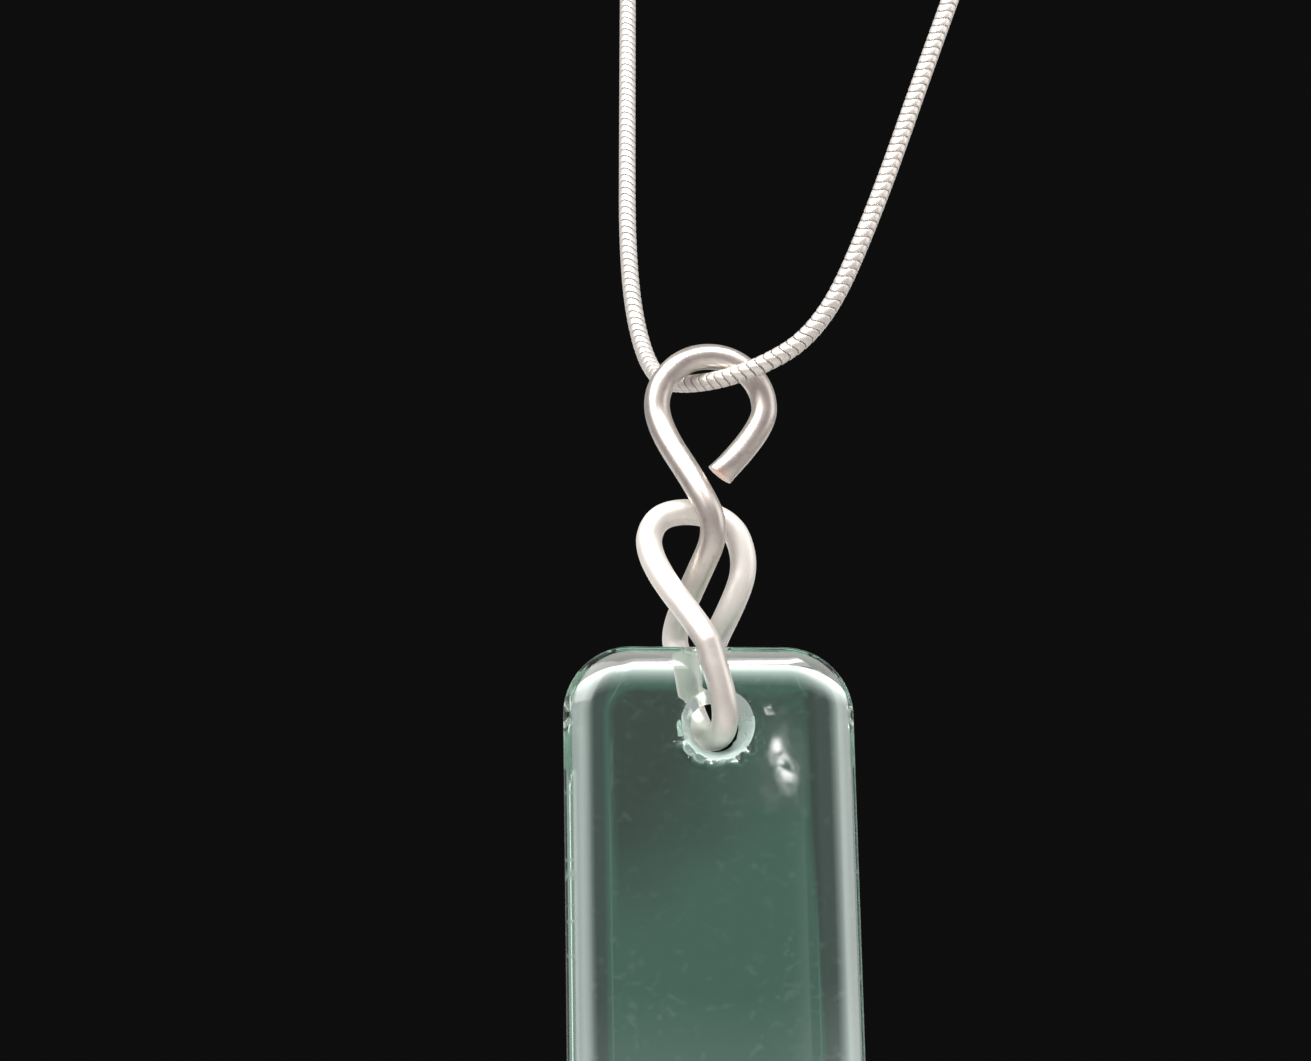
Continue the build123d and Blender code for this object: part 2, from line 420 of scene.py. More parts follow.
CHAIN_LOOP_BENDS = [
    Bend(0.16, 0.23, 0.0),
    Bend(1.00, 0.53, 0.0),
    Bend(1.00, 0.80, 0.0),
    Bend(0.41, 1.00, 0.0),
    Bend(-0.41, 1.00, 0.0),
    Bend(-1.00, 0.80, 0.0),
    Bend(-1.00, 0.54, 0.0),
    Bend(-0.28, 0.085, -1.0),
]
SHANK_BENDS = [
    Bend(0.37, 0.80, -1.05),
    Bend(0.03, 0.51, 0.1),
]
DROP_LOOP_BENDS = [
    Bend(-1.00, 0.64, -0.07),
    Bend(-0.85, 0.93, 0.0),
    Bend(-0.10, 1.00, 0.0),
    Bend(0.73, 0.91, 0.0),
    Bend(1.00, 0.65, 0.0),
    Bend(0.86, 0.39, 0.1),
    Bend(0.46, 0.10, 0.82),
]

# Middles of the two loops, to the right of the hole centre
CHAIN_LOOP_SIDE = -0.15 * MILLIMETRE
DROP_LOOP_SIDE = -1.25 * MILLIMETRE

# A strand beside the hole: the places of its top and its foot to the right of the hole centre, how
# far its top lies above the glass, and how far above its foot it is straight, in its own depths.
Strand = namedtuple("Strand", "top foot rise hold")

BACK_STRAND = Strand(-2.5 * MILLIMETRE, -0.6 * MILLIMETRE, 1.7 * MILLIMETRE, 2.0)
FRONT_STRAND = Strand(-0.95 * MILLIMETRE, 0.85 * MILLIMETRE, 0.15 * MILLIMETRE, 1.9)

# A control point of this weight turns a square corner into a true quarter circle
ARC_WEIGHT = cos(radians(45))

# Right half of the chain's route, from its lowest point round to the clasp; the left half mirrors
# it. Right, back and up, measured from the lowest point.
CHAIN_ROUTE_RIGHT = [
    (0.0032, 0.0, 0.0),
    (0.0075, 0.0024, 0.0029),
    (0.0106, 0.0044, 0.011),
    (0.0138, 0.0088, 0.026),
    (0.020, 0.0175, 0.054),
    (0.0305, 0.031, 0.092),
    (0.046, 0.052, 0.125),
    (0.054, 0.084, 0.141),
    (0.042, 0.111, 0.149),
    (0.018, 0.122, 0.151),
]

ROUTE_RESOLUTION = 24


def route_curve(name, points, weights=None):
    """A smooth spline with these control points, as a curve object."""
    curve = bpy.data.curves.new(name, "CURVE")
    curve.dimensions = "3D"
    curve.resolution_u = ROUTE_RESOLUTION
    spline = curve.splines.new("NURBS")
    spline.points.add(len(points) - 1)
    for index, point in enumerate(points):
        weight = weights.get(index, 1.0) if weights else 1.0
        spline.points[index].co = (*point, weight)
    spline.order_u = 3
    spline.use_endpoint_u = True
    route = bpy.data.objects.new(name, curve)
    bpy.context.collection.objects.link(route)
    return route


def places_along(route):
    """Points along a route, read from its own spline."""
    mesh = bpy.data.meshes.new_from_object(route)
    places = [vertex.co.copy() for vertex in mesh.vertices]
    bpy.data.meshes.remove(mesh)
    return places


def bend_points(bends, side, width, foot, height, depth):
    """Places of the wire's bends in the pendant's frame: right, back and up."""
    return [
        Vector((side + bend.across * width / 2, bend.depth * depth, foot + bend.up * height))
        for bend in bends
    ]


def strand_points(strand, bar, depth):
    """A strand's top, the end of its straight part and its foot, at a depth towards the back."""
    top = Vector((strand.top, depth, bar.hole_drop + strand.rise))
    foot = Vector((strand.foot, depth, bar.hole_diameter / 2 - abs(depth)))
    hold = foot + (top - foot).normalized() * strand.hold * abs(depth)
    return [top, hold, foot]


def bail_points(bar, bail):
    """Control points of the wire, and the weights of the two at the U-bend through the hole."""
    strand_depth = bar.thickness / 2 + bail.clearance + bail.wire_diameter / 2
    crossing_depth = bail.wire_diameter + bail.clearance
    drop_top = bar.hole_drop + bail.drop_loop_height
    chain_loop = (CHAIN_LOOP_SIDE, bail.chain_loop_width, drop_top, bail.chain_loop_height)
    drop_loop = (DROP_LOOP_SIDE, bail.drop_loop_width, bar.hole_drop, bail.drop_loop_height)
    points = bend_points(CHAIN_LOOP_BENDS, *chain_loop, crossing_depth)
    points += bend_points(SHANK_BENDS, *drop_loop, crossing_depth)
    points += strand_points(BACK_STRAND, bar, strand_depth)
    first_u_corner = len(points) - 1
    points += reversed(strand_points(FRONT_STRAND, bar, -strand_depth))
    points += bend_points(DROP_LOOP_BENDS, *drop_loop, strand_depth)
    return points, {first_u_corner: ARC_WEIGHT, first_u_corner + 1: ARC_WEIGHT}


def place_at_hole(*axes):
    """A place at the hole centre with these three axes."""
    return Matrix.Translation(hole_centre) @ Matrix(axes).transposed().to_4x4()


# Glass bar

CORNER_STEPS = 22        # edges round each corner of the outline
RIM_STEPS = 14           # rings round each half of the rim
FACE_CUTS = 8            # lines cut beside each side, where the face begins to fall away
HOLE_SIDES = 96
HOLE_RIM_STEPS = 4
HOLE_WALL_STEPS = 6
HOLE_RING_MARGIN = 1.01  # a ring's edges lie within this share of its radius
SUPPORT_WIDTH = 0.0002   # flat ring that keeps the broad faces' shading flat
MERGE_DISTANCE = 0.000002

# Chips that the drill left: how far past the hole's rounded rim they could reach, the shares of
# that at which they end and at which its rings lie, their size, their depth and their spread
CHIP_REACH = 0.0006
CHIP_END = 0.8
CHIP_RINGS = (1.0, 0.6, 0.25, 0.0)
CHIP_NOISE = 4.1
CHIP_SIDE_NOISE = 7.3    # sets the chips of the two rims apart
FINE_CHIP_NOISE = 3.7    # smaller chips, as against the larger ones
FINE_CHIP_SHARE = 0.6
CHIP_FADE = 0.75         # what they have lost where their reach ends
CHIP_DEPTH = 0.0003
CHIP_SPREAD = 0.0001
# Ripples that it left in the hole's wall: their size round it and along it, and their depth
RIPPLE_NOISE = 5.3
RIPPLE_LEVELS = 1900
RIPPLE_DEPTH = 0.0001

# The frosted part of the hole's wall: the share of the rim's rounding that it takes, the height
# above which the wire has worn it clear, and how ragged its edge is there
FROSTED_RIM = 0.4
CLEAR_WALL_ABOVE = 0.0006
CLEAR_WALL_RAGGED = 0.0006
CLEAR_WALL_NOISE = 1500


def hole_rim_turn(bar):
    """How far the hole's rounded rim turns from the broad face into the leaning wall."""
    lean = atan2(bar.hole_diameter - bar.hole_waist, bar.thickness - bar.hole_waist_length)
    return radians(90) - lean


def hole_rim_start(bar):
    """Radius at which the hole's rounded rim leaves the broad face."""
    return bar.hole_diameter / 2 + bar.hole_rim_round * tan(hole_rim_turn(bar) / 2)


def hole_ring_radius(bar):
    """Radius of the ring that keeps the face flat outside the hole's rim and its chips."""
    return hole_rim_start(bar) + CHIP_REACH + SUPPORT_WIDTH


def ring_reach(bar):
    """How far in from the outline the rim's rings can run before they would meet the hole's."""
    return bar.hole_drop - hole_ring_radius(bar) - SUPPORT_WIDTH / 2


def half_thickness(bar, inside):
    """Height of the face at a distance inside the outline: flat, with an elliptic rim."""
    share = min(1.0, inside / bar.rim_width)
    return bar.rim_flat / 2 + (bar.thickness - bar.rim_flat) / 2 * sqrt(share * (2 - share))


def inside_outline(bar, x, y):
    """Distance of a point from the bar's outline, which has round corners."""
    beside = abs(x + bar.hole_side_offset) - (bar.width / 2 - bar.corner_radius)
    above = abs(y - bar.hole_drop + bar.length / 2) - (bar.length / 2 - bar.corner_radius)
    if beside > 0 and above > 0:
        return bar.corner_radius - hypot(beside, above)
    return bar.corner_radius - max(beside, above)


def round_outline_half(bar):
    """Front half of the bar's rim, from its middle plane up to where the hole's ring is near."""
    middle = (-bar.hole_side_offset, bar.hole_drop - bar.length / 2, 0)
    bpy.ops.mesh.primitive_plane_add(size=1, location=middle)
    piece = start_piece("glass_bar_polished")
    bpy.ops.transform.resize(value=(bar.width, bar.length, 1), center_override=middle)
    bpy.ops.mesh.select_all(action="SELECT")
    bpy.ops.mesh.bevel(offset=bar.corner_radius, segments=CORNER_STEPS, affect="VERTICES")
    select_where(piece, "faces", lambda face: True)
    bpy.ops.mesh.extrude_region_move(TRANSFORM_OT_translate={"value": (0, 0, bar.rim_flat / 2)})
    rim_round = (bar.thickness - bar.rim_flat) / 2
    last_angle = acos(1 - ring_reach(bar) / bar.rim_width)
    angles = [last_angle * step / RIM_STEPS for step in range(RIM_STEPS + 1)]
    for low, high in zip(angles, angles[1:]):
        bpy.ops.mesh.inset(
            thickness=bar.rim_width * (cos(low) - cos(high)),
            depth=rim_round * (sin(high) - sin(low)),
        )
    bpy.ops.mesh.delete(type="ONLY_FACE")
    select_where(piece, "faces", lambda face: abs(face.calc_center_median().z) < MERGE_DISTANCE)
    bpy.ops.mesh.delete(type="ONLY_FACE")
    return piece


def cut_face(piece, bar, top):
    """Cuts the face along lines beside its four sides, so that it can fall away towards them."""
    middle_x = -bar.hole_side_offset
    middle_y = bar.hole_drop - bar.length / 2
    first = ring_reach(bar)
    low = top - MERGE_DISTANCE
    for step in range(1, FACE_CUTS + 1):
        inside = first + (bar.rim_width - first) * step / FACE_CUTS
        across = bar.width / 2 - inside
        along = bar.length / 2 - inside
        for place, direction in (
            ((middle_x + across, 0, 0), (1, 0, 0)),
            ((middle_x - across, 0, 0), (1, 0, 0)),
            ((0, middle_y + along, 0), (0, 1, 0)),
            ((0, middle_y - along, 0), (0, 1, 0)),
        ):
            select_where(piece, "faces", lambda face: all(vert.co.z > low for vert in face.verts))
            bpy.ops.mesh.bisect(plane_co=place, plane_no=direction)


def shape_face(piece, bar):
    """Lets both faces fall away from their flat middle to the rings of the rim."""
    reach = ring_reach(bar)
    built = half_thickness(bar, reach)
    for vertex in piece.data.vertices:
        inside = inside_outline(bar, vertex.co.x, vertex.co.y)
        if inside > reach:
            vertex.co.z *= half_thickness(bar, inside) / built


def hole_rings(bar, top):
    """Rings from the flat face round the hole down to its waist, each a radius and a height."""
    rim_turn = hole_rim_turn(bar)
    rim_start = hole_rim_start(bar)
    waist = bar.hole_waist / 2
    waist_top = bar.hole_waist_length / 2
    rings = [(rim_start + CHIP_REACH * share, top) for share in CHIP_RINGS]
    for step in range(1, HOLE_RIM_STEPS + 1):
        angle = rim_turn * step / HOLE_RIM_STEPS
        radius = rim_start - bar.hole_rim_round * sin(angle)
        rings.append((radius, top - bar.hole_rim_round * (1 - cos(angle))))
    wall_radius, wall_top = rings[-1]
    for step in range(1, HOLE_WALL_STEPS + 1):
        share = step / HOLE_WALL_STEPS
        radius = wall_radius + (waist - wall_radius) * share
        rings.append((radius, wall_top + (waist_top - wall_top) * share))
    rings.append((waist, 0))
    return rings


def drill_hole_half(piece, bar):
    """Closes the flat face round the hole, and carries the hole's rounded rim and wall down."""
    top = half_thickness(bar, ring_reach(bar))
    low = top - MERGE_DISTANCE
    first = hole_ring_radius(bar)
    bpy.ops.mesh.primitive_circle_add(vertices=HOLE_SIDES, radius=first, location=(0, 0, top))
    select_where(
        piece, "edges", lambda edge: edge.is_wire or edge.is_boundary and edge.verts[0].co.z > low
    )
    bpy.ops.mesh.fill(use_beauty=True)
    cut_face(piece, bar, top)
    near = first * HOLE_RING_MARGIN
    select_where(
        piece, "edges", lambda edge: edge.is_boundary and all(v.co.xy.length < near for v in edge.verts)
    )
    rings = [(first, top)] + hole_rings(bar, top)
    for (radius_before, height_before), (radius, height) in zip(rings, rings[1:]):
        scale = radius / radius_before
        extrude_ring((0, 0, height - height_before), (scale, scale, 1), (0, 0, height))


def seed_round_hole(direction, scale, level):
    """Where the noise is read for a direction from the hole's middle and a level along it."""
    return Vector((direction.x * scale, direction.y * scale, level))


def chip_hole_rim(piece, bar):
    """Small chips that the drill left round both rims of the hole, and its ripples in the wall."""
    rim_start = hole_rim_start(bar)
    rim_end = rim_start - bar.hole_rim_round
    for vertex in piece.data.vertices:
        distance = vertex.co.xy.length
        direction = Vector((vertex.co.x, vertex.co.y, 0)).normalized()
        side = copysign(1, vertex.co.z)
        if rim_end < distance < rim_start + CHIP_REACH * CHIP_END:
            seed = seed_round_hole(direction, CHIP_NOISE, side * CHIP_SIDE_NOISE)
            fine_chip = FINE_CHIP_SHARE * noise.noise(seed * FINE_CHIP_NOISE)
            chip = max(0.0, noise.noise(seed) + fine_chip)
            beyond = max(0.0, distance - rim_start) / CHIP_REACH
            shell = max(0.0, chip - CHIP_FADE * beyond)
            vertex.co.z -= side * shell * CHIP_DEPTH
            vertex.co += direction * shell * CHIP_SPREAD
        elif distance <= rim_end:
            seed = seed_round_hole(direction, RIPPLE_NOISE, vertex.co.z * RIPPLE_LEVELS)
            vertex.co -= direction * max(0.0, noise.noise(seed)) * RIPPLE_DEPTH


class PENDANT_OT_glass_bar(Operator):
    """Models the drilled glass bar with its rounded rim."""

    bl_idname = "pendant.glass_bar"
    bl_label = "Glass bar"

    def execute(self, context):
        bar = context.scene.glass_bar_sizes
        finishes = context.scene.pendant_finishes
        deselect_all()
        piece = round_outline_half(bar)
        drill_hole_half(piece, bar)
        bpy.ops.object.mode_set(mode="OBJECT")
        apply_modifier(piece, "MIRROR", use_axis=(False, False, True), merge_threshold=MERGE_DISTANCE)
        shape_face(piece, bar)
        chip_hole_rim(piece, bar)
        close_and_smooth(piece, MERGE_DISTANCE / 2)
        wall_reach = bar.hole_diameter / 2 + bar.hole_rim_round * FROSTED_RIM
        for face in piece.data.polygons:
            ragged = CLEAR_WALL_RAGGED * noise.noise(face.center * CLEAR_WALL_NOISE)
            below = face.center.y < CLEAR_WALL_ABOVE + ragged
            if below and face.center.xy.length < wall_reach:
                face.material_index = 1
        tilt = atan2(bar.hole_side_offset, bar.length / 2 - bar.hole_drop)
        bar_right = pendant_right * cos(tilt) + UP * sin(tilt)
        bar_front = -pendant_back
        piece.matrix_world = place_at_hole(bar_right, bar_front.cross(bar_right), bar_front)
        make_active(piece)
        bpy.ops.object.transform_apply()
        materials = (
            glass("polished_glass", finishes, finishes.glass, POLISHED),
            glass("frosted_glass", finishes, finishes.hole_wall, FROSTED),
        )
        finish_piece(piece, materials, "bar", "glass_bar")
        return {"FINISHED"}


# Wire bail

WIRE_BEVEL_STEPS = 10
WIRE_SMOOTH_ANGLE = radians(50)
# The cutters' pinch: how much of the wire's thickness they take at its tip, the share of that by
# which it widens, the slant of the cut, and how far from the tip they still press, in its lengths
PINCH_SQUASH = 0.32
PINCH_WIDENS = 0.2
PINCH_SLANT = 0.12
PINCH_REACH = 1.6
CUT_ROUND = 0.00018      # rounding of the edge of a cut end
# Steps of the mark that the cutters leave in a cut end: inwards across it, and its depth
CUT_MARKS = ((0.00016, -0.00002), (0.00018, -0.00009))
COPPER_CORE = 0.0007     # how far the bared copper core reaches from the middle of a cut end
COPPER_REACH = 0.0002    # how far from there it fades into the silver
# Share of the wire, from its first end, and how matt and white it is there. The whiteness of the front loop and
# the strands partly stands in for the stronger light on them, a painted highlight, and the lower share round the
# U-bend through the hole is painted shade.
SATIN_AND_LIGHT_STOPS = (
    (0.0, 0.0), (0.38, 0.0), (0.47, 1.0), (0.57, 0.8), (0.62, 0.4), (0.66, 0.4), (0.73, 1.0), (1.0, 1.0)
)


def share_attribute(piece, name, share):
    """Stores a share from 0 to 1 at each vertex, worked out from its place."""
    attribute = piece.data.attributes.new(name, "FLOAT", "POINT")
    for vertex, value in zip(piece.data.vertices, attribute.data):
        value.value = share(vertex.co)


def pinch_end(piece, tip, inwards, length, flatten):
    """Squashes the wire towards its cut tip along one direction across it, as cutters do."""
    across = inwards.cross(flatten).normalized()
    pressed = across.cross(inwards).normalized()
    for vertex in piece.data.vertices:
        offset = vertex.co - tip
        along = offset.dot(inwards)
        if along > length or offset.length > length * PINCH_REACH:
            continue
        nearness = 1 - max(0.0, along) / length
        squash = PINCH_SQUASH * nearness * nearness
        vertex.co -= pressed * offset.dot(pressed) * squash
        vertex.co += across * offset.dot(across) * squash * PINCH_WIDENS
        vertex.co -= inwards * offset.dot(across) * PINCH_SLANT * nearness


def cut_ends(piece):
    """Rounds the edge of both cut ends and presses a shallow mark into the middle of each."""
    make_active(piece)
    bpy.ops.object.mode_set(mode="EDIT")
    bpy.ops.mesh.select_all(action="SELECT")
    bpy.ops.mesh.remove_doubles(threshold=MERGE_DISTANCE)
    select_where(piece, "edges", lambda edge: any(len(face.verts) > 4 for face in edge.link_faces))
    bpy.ops.mesh.bevel(offset=CUT_ROUND, segments=3, affect="EDGES")
    for inset, depth in CUT_MARKS:
        select_where(piece, "faces", lambda face: len(face.verts) > 4)
        bpy.ops.mesh.inset(thickness=inset, depth=depth)
    bpy.ops.object.mode_set(mode="OBJECT")


def satin_and_light_share(places):
    """How matt and white the wire is at a point: its front loop and the strand behind the glass are, partly as a
    painted highlight, and less so round the U-bend through the hole, as painted shade.
    """
    nearest = KDTree(len(places))
    for index, place in enumerate(places):
        nearest.insert(place, index)
    nearest.balance()

    def share(point):
        along = nearest.find(point)[1] / (len(places) - 1)
        for (start, before), (end, after) in zip(SATIN_AND_LIGHT_STOPS, SATIN_AND_LIGHT_STOPS[1:]):
            if along <= end:
                return before + (after - before) * (along - start) / (end - start)

    return share


class PENDANT_OT_wire_bail(Operator):
    """Bends one length of wire into the bail and pinches its two cut ends."""

    bl_idname = "pendant.wire_bail"
    bl_label = "Wire bail"

    def execute(self, context):
        bar = context.scene.glass_bar_sizes
        bail = context.scene.bail_sizes
        finishes = context.scene.pendant_finishes
        points, weights = bail_points(bar, bail)
        place = place_at_hole(pendant_right, pendant_back, UP)
        route = route_curve("bail_wire", [place @ point for point in points], weights)
        places = places_along(route)
        route.data.bevel_depth = bail.wire_diameter / 2
        route.data.bevel_resolution = WIRE_BEVEL_STEPS
        route.data.use_fill_caps = True
        make_active(route)
        bpy.ops.object.convert(target="MESH")
        piece = bpy.context.object
        cut_ends(piece)
        for tip, beside in ((places[0], places[1]), (places[-1], places[-2])):
            pinch_end(piece, tip, (beside - tip).normalized(), bail.pinch_length, pendant_back)
        close_and_smooth(piece, MERGE_DISTANCE)
        bpy.ops.object.shade_smooth_by_angle(angle=WIRE_SMOOTH_ANGLE)

        def bareness(point):
            nearest = min((point - tip).length for tip in (places[0], places[-1]))
            return max(0.0, 1 - max(0.0, nearest - COPPER_CORE) / COPPER_REACH)

        share_attribute(piece, "bared", bareness)
        # The satin share paints a highlight on the front loop and the strands, and shade round the U-bend through
        # the hole.
        share_attribute(piece, "satin", satin_and_light_share(places))
        wire = silver("plated_wire", finishes, *PLATED_WIRE, ("satin", "bared"))
        finish_piece(piece, (wire,), "bail", "wire_bail")
        return {"FINISHED"}


# Chain and clasp

def chain_points(chain):
    """Control points of the chain's route, from the clasp's left end round to its right end."""
    right = [chain_low_point + Vector(point) for point in CHAIN_ROUTE_RIGHT]
    right.append(nape + Vector((chain.clasp_length / 2, 0, 0)))
    left = [Vector((-point.x, point.y, point.z)) for point in reversed(right)]
    return left + right


GROOVE_REACH = 0.93      # share of the chain's radius up to which its grooves reach
GROOVE_SHADE = 0.3     # painted shade: how dark the grooves between the links are painted
CHAIN_SATIN = 0.65       # how matt the links are
# A link's edges and shoulders: shares of the pitch, from the link's middle, and of the radius
LINK_PROFILE = ((-0.50, 0.94), (-0.36, 0.99), (0.26, 0.975), (0.51, 0.915))


def snake_link(chain):
    """One link: a closed ring with a barrel-shaped outside whose edges wave along the chain."""
    outer = chain.diameter / 2
    profile = [(along * chain.link_pitch, outer * reach) for along, reach in LINK_PROFILE]
    along, radius = profile[0]
    bpy.ops.mesh.primitive_circle_add(
        vertices=chain.link_sides, radius=radius, location=(along, 0, 0), rotation=(0, radians(90), 0)
    )
    piece = start_piece("snake_chain_links")
    bpy.ops.mesh.select_all(action="SELECT")
    for (along_before, radius_before), (along, radius) in zip(profile, profile[1:]):
        scale = radius / radius_before
        extrude_ring((along - along_before, 0, 0), (1, scale, scale), (along, 0, 0))
    select_where(piece, "edges", lambda edge: edge.is_boundary)
    bpy.ops.mesh.bridge_edge_loops()
    bpy.ops.mesh.select_all(action="SELECT")
    bpy.ops.mesh.normals_make_consistent()
    bpy.ops.object.mode_set(mode="OBJECT")
    for vertex in piece.data.vertices:
        angle = atan2(vertex.co.z, vertex.co.y)
        vertex.co.x += chain.link_wave * cos(2 * angle)
    return piece


class PENDANT_OT_snake_chain(Operator):
    """Models one link and repeats it along the whole chain."""

    bl_idname = "pendant.snake_chain"
    bl_label = "Snake chain"

    def execute(self, context):
        chain = context.scene.chain_sizes
        finishes = context.scene.pendant_finishes
        deselect_all()
        route = route_curve("chain_route", chain_points(chain))
        places = places_along(route)
        length = sum((after - before).length for before, after in zip(places, places[1:]))
        count = round(length / chain.link_pitch)
        piece = snake_link(chain)
        groove_radius = chain.diameter / 2 * GROOVE_REACH
        # Painted shade: the trailing edge of each link, inside the groove reach, darkens the grooves between the
        # links.
        share_attribute(
            piece, "grooves", lambda point: GROOVE_SHADE if point.yz.length < groove_radius else 0.0
        )
        pitch = length / count
        for vertex in piece.data.vertices:
            vertex.co.x += pitch / 2
        apply_modifier(
            piece,
            "ARRAY",
            count=count,
            use_relative_offset=False,
            use_constant_offset=True,
            constant_offset_displace=(pitch, 0, 0),
        )
        apply_modifier(piece, "CURVE", object=route, deform_axis="POS_X")
        bpy.data.objects.remove(route)
        make_active(piece)
        bpy.ops.object.shade_smooth()
        share_attribute(piece, "satin", lambda point: CHAIN_SATIN)
        links = silver("chain_silver", finishes, *CHAIN_SILVER, ("satin", "grooves"))
        finish_piece(piece, (links,), "necklace", "snake_chain")
        return {"FINISHED"}


class PENDANT_OT_barrel_clasp(Operator):
    """Gives the clasp's solid its polished finish."""

    bl_idname = "pendant.barrel_clasp"
    bl_label = "Barrel clasp"

    def execute(self, context):
        materials = frame["nodes"]["clasp"].data.materials
        materials.clear()
        materials.append(silver("clasp_silver", context.scene.pendant_finishes, *CLASP_SILVER))
        return {"FINISHED"}


# Stage

FLOOR_HEIGHT = -0.5
FLOOR_RADIUS = 1.6
FLOOR_SIDES = 96
FLOOR_ROUGHNESS = (0.55, 0.7)

# Where the photograph was taken from: the camera's place, where it looks, as an angle round the
# pendant and one upwards, and its lens in millimetres
CAMERA_PLACE = Vector((0.11014, -0.28529, -0.21048))
CAMERA_AZIMUTH = radians(35.17)
CAMERA_RISE = radians(13.87)
CAMERA_LENS = 80.17

# A soft light: its place as azimuth, elevation and distance round the pendant, its two sides, its
# roll about its own axis, its power in watts and its colour.
SoftLight = namedtuple("SoftLight", "name azimuth elevation distance width height roll power colour")

SOFT_LIGHTS = [
    SoftLight("key_softbox", -10, 42, 0.60, 0.46, 0.52, 0, 4.0, (1.0, 0.985, 0.945)),
    SoftLight("right_softbox", 118, 20, 0.60, 0.42, 0.50, 0, 0.7, (1.0, 0.98, 0.95)),
    SoftLight("top_softbox", 56, 56, 0.60, 0.40, 0.20, 25, 1.1, (1.0, 0.99, 0.97)),
    SoftLight("top_strip", 56, 56, 0.58, 0.40, 0.07, 35, 1.3, (1.0, 0.99, 0.97)),
    SoftLight("small_window", 52.2, 9.0, 0.50, 0.0024, 0.012, 30, 0.0042, (1.0, 1.0, 1.0)),
]


def add_floor(finishes):
    """A plain pale floor under the hanging pendant."""
    bpy.ops.mesh.primitive_circle_add(
        vertices=FLOOR_SIDES, radius=FLOOR_RADIUS, fill_type="NGON", location=(0, 0, FLOOR_HEIGHT)
    )
    floor = bpy.context.object
    floor.name = "studio_floor"
    bpy.ops.object.transform_apply(location=True)
    material, tree, shader = new_material("studio_floor", Base_Color=finishes.floor)
    place = add_node(tree, "ShaderNodeTexCoord").outputs["Object"]
    grain = noise_pattern(tree, place, scale=6.0, detail=3.0)
    roughness = map_range(tree, grain, *NOISE_RANGE, *FLOOR_ROUGHNESS)
    tree.links.new(roughness, shader.inputs["Roughness"])
    floor.data.materials.append(material)


def direction_to(azimuth, elevation):
    """The direction from the pendant to a place at these angles round it and above it."""
    return Vector((
        sin(azimuth) * cos(elevation),
        -cos(azimuth) * cos(elevation),
        sin(elevation),
    ))


def add_soft_light(light):
    """An area light that faces the pendant."""
    data = bpy.data.lights.new(light.name, "AREA")
    data.shape = "RECTANGLE"
    data.size = light.width
    data.size_y = light.height
    data.energy = light.power
    data.color = light.colour
    placed = bpy.data.objects.new(light.name, data)
    outwards = direction_to(radians(light.azimuth), radians(light.elevation))
    placed.location = hole_centre + outwards * light.distance
    roll = Matrix.Rotation(radians(light.roll), 3, "Z")
    placed.rotation_euler = (outwards.to_track_quat("Z", "Y").to_matrix() @ roll).to_euler()
    bpy.context.collection.objects.link(placed)


def add_camera():
    """The camera at the photograph's viewing angle."""
    data = bpy.data.cameras.new("photo_camera")
    data.lens = CAMERA_LENS
    data.clip_start = 0.01
    camera = bpy.data.objects.new("photo_camera", data)
    camera.location = CAMERA_PLACE
    camera.rotation_euler = (radians(90) + CAMERA_RISE, 0, CAMERA_AZIMUTH)
    bpy.context.collection.objects.link(camera)
    bpy.context.scene.camera = camera


# The room lies round the line of sight through the glass. Each ring has the dot product with that
# line at which it begins, from the rim of sight inwards, and its colour.
SIGHT_RISE = radians(7.5)
ROOM_RINGS = (
    (0.0, (0.36, 0.31, 0.315, 1)),
    (0.62, (0.42, 0.41, 0.415, 1)),
    (0.84, (0.42, 0.43, 0.43, 1)),
    (0.91, (0.50, 0.51, 0.505, 1)),
    (0.94, (0.40, 0.42, 0.415, 1)),
)
BACKDROP = (0.0045, 0.0045, 0.0045, 1)   # what the eye sees in place of the room

# Glow of the pale floor behind the pendant: the dot products at which it begins and is whole, the
# heights of its upper and lower edge, and its colour from the one to the other
GLOW_REACH = (0.3, 0.8)
GLOW_EDGES = (0.085, -0.125)
GLOW_STOPS = (
    (0.0, (0.0, 0.0, 0.0, 1)),
    (0.2, (0.07, 0.07, 0.07, 1)),
    (0.5, (0.25, 0.25, 0.246, 1)),
    (0.75, (0.50, 0.50, 0.49, 1)),
    (1.0, (1.0, 0.99, 0.97, 1)),
)
GLOW_LEFT = (-0.02, -0.15)   # how far to the left it begins to grow, and has grown
GLOW_LEFT_SHARE = 0.65       # by which share of itself

# Dark panel behind the pendant: the dot products at which it begins and is whole, and its colours
PANEL_EDGE = (0.935, 0.978)
PANEL_FOOT = (0.054, 0.121, 0.095, 1)
PANEL_TOP = (0.034, 0.058, 0.046, 1)
PANEL_SIDES = (0.047, 0.072, 0.066, 1)
PANEL_BAND = (0.095, 0.090, 0.098, 1)
PANEL_LEAN = 0.9               # how steeply its levels rise to the right
PANEL_UNEVEN = 0.03            # how far its patches shift them
PANEL_DARKENS = (0.10, 0.16)   # levels where it turns to its top's colour
PANEL_MIDDLE = 0.0173
PANEL_GREYS = (0.055, 0.10)    # how far off its middle it turns to its sides' colour
BAND_PLACE = 0.0322            # how far off its middle each of its two light bands lies
BAND_WIDTH = 0.007             # from the middle of a band to its edge
BAND_FADES = (0.135, 0.09)     # levels where the bands begin, coming down, and are whole


